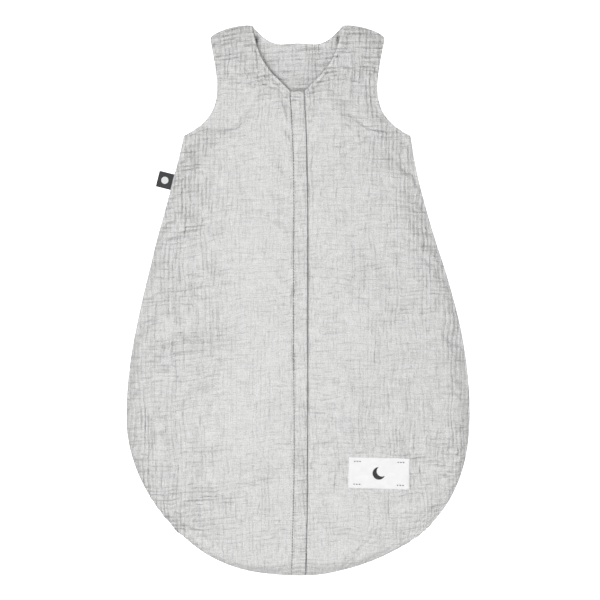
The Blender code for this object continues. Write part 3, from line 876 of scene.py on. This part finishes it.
def back_pieces():
    """The back's outer cloth and its lining, each from side seam to side seam."""
    right = half_grid(BACK_DETAIL, 0.0, BACK_NECK_LINE)
    left = right[:, :0:-1] * (-1, 1)
    flat_x, y = np.moveaxis(np.concatenate([left, right], 1), 2, 0)
    lean = lean_at(flat_x, y)
    seam = seam_distance(flat_x, y)
    open_edge = np.minimum(distance_to(BACK_NECK_LINE, flat_x, y), distance_to(ARMHOLE_LINE, flat_x, y))
    curl = np.clip(1 - seam / (14 * MM), 0, 1) ** 2
    lift, painted_shade = crinkle(flat_x, y, 0.9, SEED + 80)
    lift = (lift - lift.min()) * smooth_step(np.minimum(seam, open_edge), 0.0, 8 * MM)
    rise = (SEAM_BOTTOM_Z - 0.4 * MM) * curl
    rounded = 0.9 * MM * (1 - round_off(np.minimum(seam, open_edge), 2.2 * MM))
    lower = np.stack([flat_x + lean, y, rise + lift * (1 - curl) + rounded + 0.05 * MM], 2)
    roof = rise + OUTER_THICKNESS + (lift.max() + 0.05 * MM) * (1 - curl) + 0.5 * MM * curl
    roof = roof - 0.4 * MM * (1 - smooth_step(open_edge, 0.0, 6 * MM))
    upper = np.stack([flat_x + lean, y, roof], 2)[::BACK_DETAIL, ::BACK_DETAIL]
    outer = closed_cloth("back_outer", upper, lower, painted_shade)
    dress(outer, MUSLIN, "muslin_outer", "back_panel_outer", body="root")

    tuck_x, tuck_y = tucked(flat_x, y, LINING_TUCK)
    wave = 0.9 * MM * (1 + smooth_noise(flat_x, y, 0.05, 0.07, SEED + 90)) * smooth_step(open_edge, 0.0, 0.03)
    lift, painted_shade = crinkle(flat_x, y, 0.9, SEED + 95)
    rim = 0.5 * MM * bell(open_edge, 2.0 * MM, 1.6 * MM)
    rim = rim - 0.8 * MM * (1 - round_off(open_edge, 1.6 * MM))
    bed = roof + 0.1 * MM
    ease = (1 - curl) * smooth_step(open_edge, 0.0, 8 * MM)
    top_z = bed + LINING_THICKNESS + (wave + np.maximum(lift, -0.5 * MM)) * ease + rim
    top_z = np.minimum(top_z, np.where(seam < 0.012, SEAM_BOTTOM_Z + 1.2 * MM, 1.0))
    # Painted highlight along the rolled neck and arm edges.
    painted_shade = painted_shade - 0.8 * bell(open_edge, 1.5 * MM, 1.5 * MM)
    # Painted shade in the hollows at the inner corners of the shoulders.
    corner_x, corner_y = SHOULDER_HOLLOW_SHADE
    hollow = np.hypot((np.abs(flat_x) - corner_x) / 3.0, (y - corner_y) / 6.0) / MM
    painted_shade = painted_shade + 6.5 * bell(hollow, 0, 1)
    upper = np.stack([tuck_x + lean, tuck_y, top_z], 2)
    lower = np.stack([tuck_x + lean, tuck_y, np.minimum(bed, top_z - 0.3 * MM)], 2)
    lining = closed_cloth("back_lining", upper, lower[::BACK_DETAIL, ::BACK_DETAIL], painted_shade)
    dress(lining, MUSLIN_LINING, "muslin_lining", "back_panel_lining", body="root")


def placket_strip():
    """The strip over the zip: turned edges, a soft crown and drag wrinkles low down."""
    low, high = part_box("placket_flap")
    reaches = (EDGE_BEND_END - low.y, high.y - EDGE_BEND_END)
    split, upper_rows = (int(reach / STRIP_CELL) // 2 * 2 for reach in reaches)
    low_ys = np.linspace(0.3 * MM - HALF_LENGTH, EDGE_BEND_END, split + 1)
    ys = np.concatenate([low_ys, np.linspace(EDGE_BEND_END, high.y, upper_rows + 1)[1:]])
    share, y = np.meshgrid(np.linspace(0, 1, STRIP_COLUMNS), ys)
    left = 0.15 * MM - OPENING_HALF_WIDTH + strip_narrowing(y)
    right = OPENING_HALF_WIDTH - strip_gap(y) / 2
    flat_x = left + (right - left) * share
    x = flat_x + strip_shift(y)
    base = zip_line_z(y)
    crown = np.sin(np.pi * share)
    inside = crown**0.5
    z = base + (1.5 * MM + 0.60 * MM * crown)
    edges = ((flat_x - left, 1.7, 1.3), (right - flat_x, 1.1, 1.6), (high.y - y, 0.9, 1.6))
    for distance, drop, radius in edges:
        z = z - drop * MM * (1 - round_off(distance, radius * MM))
    z = z + 0.9 * MM * bell(y, SLIDER_Y, 0.013) * inside
    drag = smooth_noise(flat_x + 0.10 * y, y, 2.3 * MM, 60 * MM, SEED + 60)
    drag_share = bell(y, -0.215, 0.075) + 0.25
    puff = smooth_noise(flat_x, y - 0.15 * flat_x, 16 * MM, 4.2 * MM, SEED + 61)
    puff_share = 0.35 + 0.65 * smooth_step(y, -0.12, 0.1)
    z = z + inside * MM * (0.66 * drag * drag_share + 0.46 * puff * puff_share)
    lift, painted_shade = crinkle(x, y, 0.55, SEED + 62)
    z = z + lift * inside
    # Painted shade in the crinkle valleys and along the drag wrinkles, kept off the turned edges.
    painted_shade = np.clip(painted_shade * 0.9 + 0.9 * bell(drag, 0, 0.2) * drag_share, 0, 1.6) * inside
    below = np.minimum(np.maximum(base + 0.35 * MM, z - 1.25 * MM), z - 0.5 * MM)
    over_zip = (1 - smooth_step(np.abs(x), 3.2 * MM, 5.0 * MM)) * smooth_step(y, -0.325, -0.308)
    below = below + np.maximum(STRIP_ROOM_Z - below, 0) * over_zip
    upper = np.stack([x, y, np.maximum(z, below + STRIP_MIN_THICKNESS)], 2)
    under = np.stack([x, y, below], 2)
    for part, rows in (("lower", slice(0, split + 1)), ("upper", slice(split, None))):
        item = closed_cloth(f"placket_{part}", upper[rows], under[rows], painted_shade[rows])
        dress(item, MUSLIN_STRIP, "muslin_outer")
        if part == "lower":
            bend_with_edge(item)
            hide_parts("placket_flap")
        else:
            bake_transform(item)


# Many small solids in one piece


def points_and_faces(bm):
    bm.verts.index_update()
    shape = ([list(v.co) for v in bm.verts], [[v.index for v in f.verts] for f in bm.faces])
    bm.free()
    return shape


def ball(rings, segments):
    """A small closed ball of radius 1."""
    bm = bmesh.new()
    bmesh.ops.create_uvsphere(bm, u_segments=segments, v_segments=rings, radius=1.0)
    return points_and_faces(bm)


def rounded_block(size, bevel, segments=2):
    """A box with rounded edges, centred on the origin."""
    bm = bmesh.new()
    bmesh.ops.create_cube(bm, size=1.0)
    bmesh.ops.scale(bm, verts=bm.verts, vec=size)
    bmesh.ops.bevel(bm, geom=bm.edges[:], offset=bevel, segments=segments, affect="EDGES", profile=0.6)
    return points_and_faces(bm)


def copies(name, shape, centres, directions=None, scale=(1, 1, 1)):
    """One object made of the same small solid at many places. Its X axis follows each direction."""
    base = np.array(shape[0]) * scale
    points, faces = [], []
    for i, centre in enumerate(centres):
        forward = np.array((1.0, 0, 0) if directions is None else directions[i])
        forward = forward / np.linalg.norm(forward)
        side = np.cross((0, 0, 1.0), forward)
        side = side / np.linalg.norm(side)
        points.append(base @ (forward, side, np.cross(forward, side)) + np.array(centre))
        faces += [[k + i * len(base) for k in face] for face in shape[1]]
    mesh = bpy.data.meshes.new(name)
    mesh.from_pydata(np.concatenate(points).tolist(), [], faces)
    return smooth_piece(name, mesh, 50)


def stitches(name, line, size, finish, slot_name, body=None):
    """A row of stitches along a chain of 3D points, with a size of pitch, length and thickness."""
    pitch, length, radius = size
    centres, directions = walk(line, pitch)
    item = copies(name, ball(4, 6), centres, directions, (length / 2, radius, radius))
    return dress(item, finish, slot_name, body=body)


# Zip


TAPE_OUTER = 9.9 * MM
TAPE_INNER = 2.4 * MM
TAPE_HALF = 0.28 * MM
TOOTH_PITCH = 2.8 * MM


def zip_tape(side, word):
    low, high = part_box(f"zip_tape_{word}")
    ys = np.linspace(low.y, high.y, 401)
    x, y = np.meshgrid(sorted(side * np.linspace(TAPE_INNER, TAPE_OUTER, 11)), ys)
    z = CHAIN_Z + 0.05 * MM * np.cos(x / (1.1 * MM) * 2 * math.pi)
    x = x + strip_shift(y) * smooth_step(np.abs(x), 3.5 * MM, TAPE_OUTER)
    upper, lower = (np.stack([x, y, z + rise], 2) for rise in (TAPE_HALF, -TAPE_HALF))
    tape = closed_cloth(f"tape_{word}", upper, lower)
    dress(tape, ZIP_TAPE, "zip_tape", f"zip_tape_{word}")
    bend_with_edge(tape)


def zip_teeth(side, word):
    """Moulded teeth: a foot that grips the tape's beaded edge and a narrower head that interlocks."""
    low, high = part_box(f"zip_teeth_{word}")
    shift = 0.0 if side < 0 else TOOTH_PITCH / 2
    ys = np.arange(low.y + TOOTH_PITCH / 2 + shift, high.y - TOOTH_PITCH / 2, TOOTH_PITCH)
    foot = ("teeth", 2.2 * MM, (1.6 * MM, 1.7 * MM, 2.0 * MM), (f"zip_teeth_{word}",))
    head = ("tooth_heads", 0.75 * MM, (2.0 * MM, 1.15 * MM, 1.5 * MM), ())
    for part, x, size, nodes in (foot, head):
        centres = [(side * x, y, CHAIN_Z) for y in ys]
        item = copies(f"{part}_{word}", rounded_block(size, 0.35 * MM), centres)
        dress(item, ZIP_PLASTIC, "zip_teeth", *nodes)
        bend_with_edge(item)


def zip_stops():
    """Top stops as wide as a tooth, and a bottom stop a little wider than its solid in the frame."""
    for word, body, width, height, bevel in (
        ("top_stop_left", "lapel_left", 2.6 * MM, 2.4 * MM, 0.5 * MM),
        ("top_stop_right", "lapel_right", 2.6 * MM, 2.4 * MM, 0.5 * MM),
        ("bottom_stop", "root", None, 2.6 * MM, 0.6 * MM),
    ):
        low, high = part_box(f"zip_{word}")
        width = width or high.x - low.x + 0.6 * MM
        stop = copies(word, rounded_block((width, high.y - low.y, height), bevel, 3), [(low + high) / 2])
        dress(stop, ZIP_PLASTIC, "zip_teeth", f"zip_{word}", body=body)


def plate(name, outline, low, high):
    """A flat plate from an outline in the plane."""
    bm = bmesh.new()
    face = bm.faces.new([bm.verts.new((p[0], p[1], low)) for p in outline])
    raised = bmesh.ops.extrude_face_region(bm, geom=[face])
    top = [g for g in raised["geom"] if isinstance(g, bmesh.types.BMVert)]
    bmesh.ops.translate(bm, verts=top, vec=(0, 0, high - low))
    bmesh.ops.recalc_face_normals(bm, faces=bm.faces)
    mesh = bpy.data.meshes.new(name)
    bm.to_mesh(mesh)
    bm.free()
    return smooth_piece(name, mesh, 40)


def arc(radius, start, end, count, centre_x=0.0):
    turn = np.linspace(start, end, count)
    return np.stack([centre_x + radius * np.cos(turn), radius * np.sin(turn)], 1)


def crescent(radius, bite, offset, count):
    """A moon: a disc less a smaller disc moved towards its upper right."""
    across = (offset**2 + radius**2 - bite**2) / (2 * offset)
    half = math.acos(across / radius)
    tip = math.atan2(radius * math.sin(half), across - offset)
    outer = arc(radius, half, 2 * math.pi - half, 2 * count)
    moon = np.concatenate([outer, arc(bite, 2 * math.pi - tip, tip, count, offset)[1:-1]])
    turn = math.radians(35)
    return moon @ np.array([[math.cos(turn), math.sin(turn)], [-math.sin(turn), math.cos(turn)]])


def zip_metal():
    """The slider and the pull tab: the frame's shapes with rounded edges, cast and plated."""
    for node, body in (("zip_slider_body", "slider"), ("zip_pull_tab", "pull_tab")):
        mesh = frame["nodes"][node].data.copy()
        mesh.materials.clear()
        item = new_object(f"{node}_cast", mesh)
        rounding = item.modifiers.new("rounding", "BEVEL")
        rounding.width = 0.25 * MM
        rounding.segments = 3
        rounding.limit_method = "ANGLE"
        rounding.angle_limit = math.radians(40)
        dress(item, ZIP_METAL, "zip_metal", node, body=body)


# Labels


def front_label():
    """A woven label with folded ends, sewn flat, and a plain moon between four short rows of stitches."""
    low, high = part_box("front_label")
    centre = (low + high) / 2
    size_x, size_y = LABEL_SIZE
    cos, sin = math.cos(LABEL_TURN), math.sin(LABEL_TURN)

    def turned(lx, ly):
        return centre.x + lx * cos - ly * sin, centre.y + lx * sin + ly * cos

    def on_label(points, height):
        x, y = turned(points[:, 0], points[:, 1])
        return np.stack([x, y, np.full(len(x), height)], 1)

    u, v = np.meshgrid(np.linspace(-0.5, 0.5, 65), np.linspace(-0.5, 0.5, 33))
    lx, ly = u * size_x, v * size_y
    x, y = turned(lx, ly)
    ends = size_x / 2 - np.abs(lx)
    edge = np.minimum(ends, size_y / 2 - np.abs(ly))
    wave = 0.35 * MM * smooth_noise(x, y, 0.020, 0.012, SEED + 11) * smooth_step(edge, 0, 0.006)
    fold = 0.25 * MM * (1 - smooth_step(ends, 0.0055, 0.0065))
    z = TOP_Z + 0.55 * MM + wave + fold - 0.25 * MM * (1 - round_off(edge, 1.0 * MM))
    label = closed_cloth("label", np.stack([x, y, z + 0.35 * MM], 2), np.stack([x, y, z], 2))
    dress(label, LABEL_CLOTH, "woven_label", "front_label", body="root")

    top = TOP_Z + 1.25 * MM
    moon = plate("label_moon", on_label(crescent(*MOON, 24), 0)[:, :2], top - 0.5 * MM, top)
    dress(moon, MOTIF_THREAD, "woven_label", body="root")
    reach = np.array([size_x / 2 - 7 * MM, size_y / 2 - 5 * MM])
    for number, signs in enumerate(((1, 1), (-1, 1), (-1, -1), (1, -1))):
        arm = np.array([reach - (9 * MM, 0), reach]) * signs
        line = on_label(arm, top - 0.1 * MM)
        stitches(f"label_corner_{number + 1}", line, MOTIF_STITCH, MOTIF_THREAD, "woven_label", "root")
    for word, sign in (("left", -1), ("right", 1)):
        row = [[sign * (size_x / 2 - 1.6 * MM), t] for t in np.linspace(-size_y / 2, size_y / 2, 9)]
        line = on_label(np.array(row), top + 0.02 * MM)
        stitches(f"label_stitches_{word}", line, LABEL_STITCH, LABEL_CLOTH, "woven_label", "root")


def side_tag():
    """A ribbon folded into a loop and caught in the seam, with a plain light dot."""
    low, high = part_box("side_tag")
    middle_z, half = (low.z + high.z) / 2, (high.z - low.z) / 2
    corners = sorted({(round(v.co.x, 6), round(v.co.y, 6)) for v in frame["nodes"]["side_tag"].data.vertices})
    tips, roots = (np.array(sorted(ends, key=lambda p: p[1])) for ends in (corners[:2], corners[2:]))
    lean = (outline_lean(roots[0, 1]), 0)
    length = np.linalg.norm(tips[0] - roots[0])
    outward = (tips[0] - roots[0]) / length
    reach = length + TAG_IN_SEAM
    wrap = np.linspace(0, 1, 41)
    turn = (wrap - 0.45) / 0.10 * np.pi
    turning = np.abs(wrap - 0.5) < 0.05
    along = np.minimum(wrap, 1 - wrap) / 0.45 * (reach - half)
    along = np.where(turning, reach - half + half * np.sin(turn), along)
    rise = np.where(turning, half * np.cos(turn), half * np.sign(0.5 - wrap))
    share = np.linspace(0, 1, 21)[:, None]
    sag = 0.5 * MM * np.sin(share * np.pi) * (along / reach) ** 2
    start = roots[0] + lean + (roots[1] - roots[0]) * share
    spot = start[:, None] + outward * (along - TAG_IN_SEAM)[:, None]
    outer = np.dstack([spot, middle_z + rise + sag])
    tag = closed_cloth("tag", outer, outer - normals_of(outer) * 0.22 * MM)
    dress(tag, TAG_CLOTH, "side_tag", "side_tag", body="root")
    middle = np.mean(corners, axis=0) + lean
    disc = arc(DOT_RADIUS, 0, 2 * math.pi, 33)[:-1] + middle
    dot = plate("tag_dot", disc, middle_z + half, middle_z + half + 0.9 * MM)
    dress(dot, TAG_MOTIF, "side_tag", body="root")


def care_label():
    low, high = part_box("care_label")
    u, v = np.meshgrid(np.linspace(0, 1, 17), np.linspace(0, 1, 25))
    x = low.x + (high.x - low.x) * u
    y = low.y + (high.y - low.y) * v
    z = high.z + 2.2 * MM + 0.8 * MM * np.sin(u * 4.0) + 0.5 * MM * np.sin(v * 5 + u * 2)
    label = closed_cloth("inner_label", np.stack([x, y, z + 0.2 * MM], 2), np.stack([x, y, z], 2))
    dress(label, LABEL_CLOTH, "woven_label", "care_label", body="root")


def placket_stitches():
    """A row of stitches in the valley where the placket is sewn on, in two parts like the strip, painted dark
    as the shadow in that valley.
    """
    low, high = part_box("placket_flap")
    ends = {"low": (low.y + 4 * MM, EDGE_BEND_END), "high": (EDGE_BEND_END, high.y - 3 * MM)}
    for part, (first, last) in ends.items():
        ys = np.linspace(first, last, 200)
        x = strip_shift(ys) + strip_narrowing(ys) - OPENING_HALF_WIDTH - 0.1 * MM
        line = np.stack([x, ys, zip_line_z(ys) - 0.2 * MM], 1)
        row = stitches(f"placket_stitches_{part}", line, SEAM_STITCH, SEAM_SHADOW_THREAD, "muslin_outer")
        bend_with_edge(row)


# Stage


LIGHTS = (
    ("key", (-0.30, -0.20, 2.3), 0.9, 29),
    ("top", (0.10, 0.10, 2.6), 1.6, 22),
)
CAMERA_PLACE = (0.0029, 0.002, 3.0)
FOCUS_Z = 0.01
VIEW_WIDTH = 0.765
FLOOR_HALF = 6.0
FLOOR_Z = -0.4 * MM


def stage():
    floor_mesh = bpy.data.meshes.new("floor")
    corners = [(x * FLOOR_HALF, y * FLOOR_HALF, FLOOR_Z) for x, y in ((-1, -1), (1, -1), (1, 1), (-1, 1))]
    floor_mesh.from_pydata(corners, [], [(0, 1, 2, 3)])
    floor = new_object("floor", floor_mesh)
    n = material("floor_white")
    seen = n.add("ShaderNodeLightPath").outputs["Is Camera Ray"]
    white = {"Base Color": (0.9, 0.9, 0.9, 1), "Roughness": 0.9, "Emission Color": (1, 1, 1, 1)}
    floor_mesh.materials.append(n.surface({**white, "Emission Strength": n.remap(seen, 0, 1, 0, 0.9)}))

    n = Nodes(bpy.data.worlds.new("studio"))
    seen = n.add("ShaderNodeLightPath").outputs["Is Camera Ray"]
    brightness = n.remap(seen, 0, 1, 0.33, 1.1)
    bpy.context.scene.world = n.finish("Background", {0: (1, 1, 1, 1), 1: brightness})
    for name, spot, size, power in LIGHTS:
        light = bpy.data.lights.new(name, "AREA")
        light.shape = "DISK"
        light.size = size
        light.energy = power
        lamp = new_object(name, light)
        lamp.location = spot
        lamp.rotation_euler = Vector(spot).to_track_quat("Z", "Y").to_euler()

    bpy.context.scene.view_settings.view_transform = "Standard"
    camera = bpy.data.cameras.new("camera")
    camera.lens = camera.sensor_width * (CAMERA_PLACE[2] - FOCUS_Z) / VIEW_WIDTH
    view = new_object("camera", camera)
    view.location = CAMERA_PLACE
    bpy.context.scene.camera = view


front_half(-1, "left")
front_half(1, "right")
back_pieces()
placket_strip()
placket_stitches()
for sign, word in ((-1, "left"), (1, "right")):
    zip_tape(sign, word)
    zip_teeth(sign, word)
zip_stops()
zip_metal()
front_label()
side_tag()
care_label()
stage()
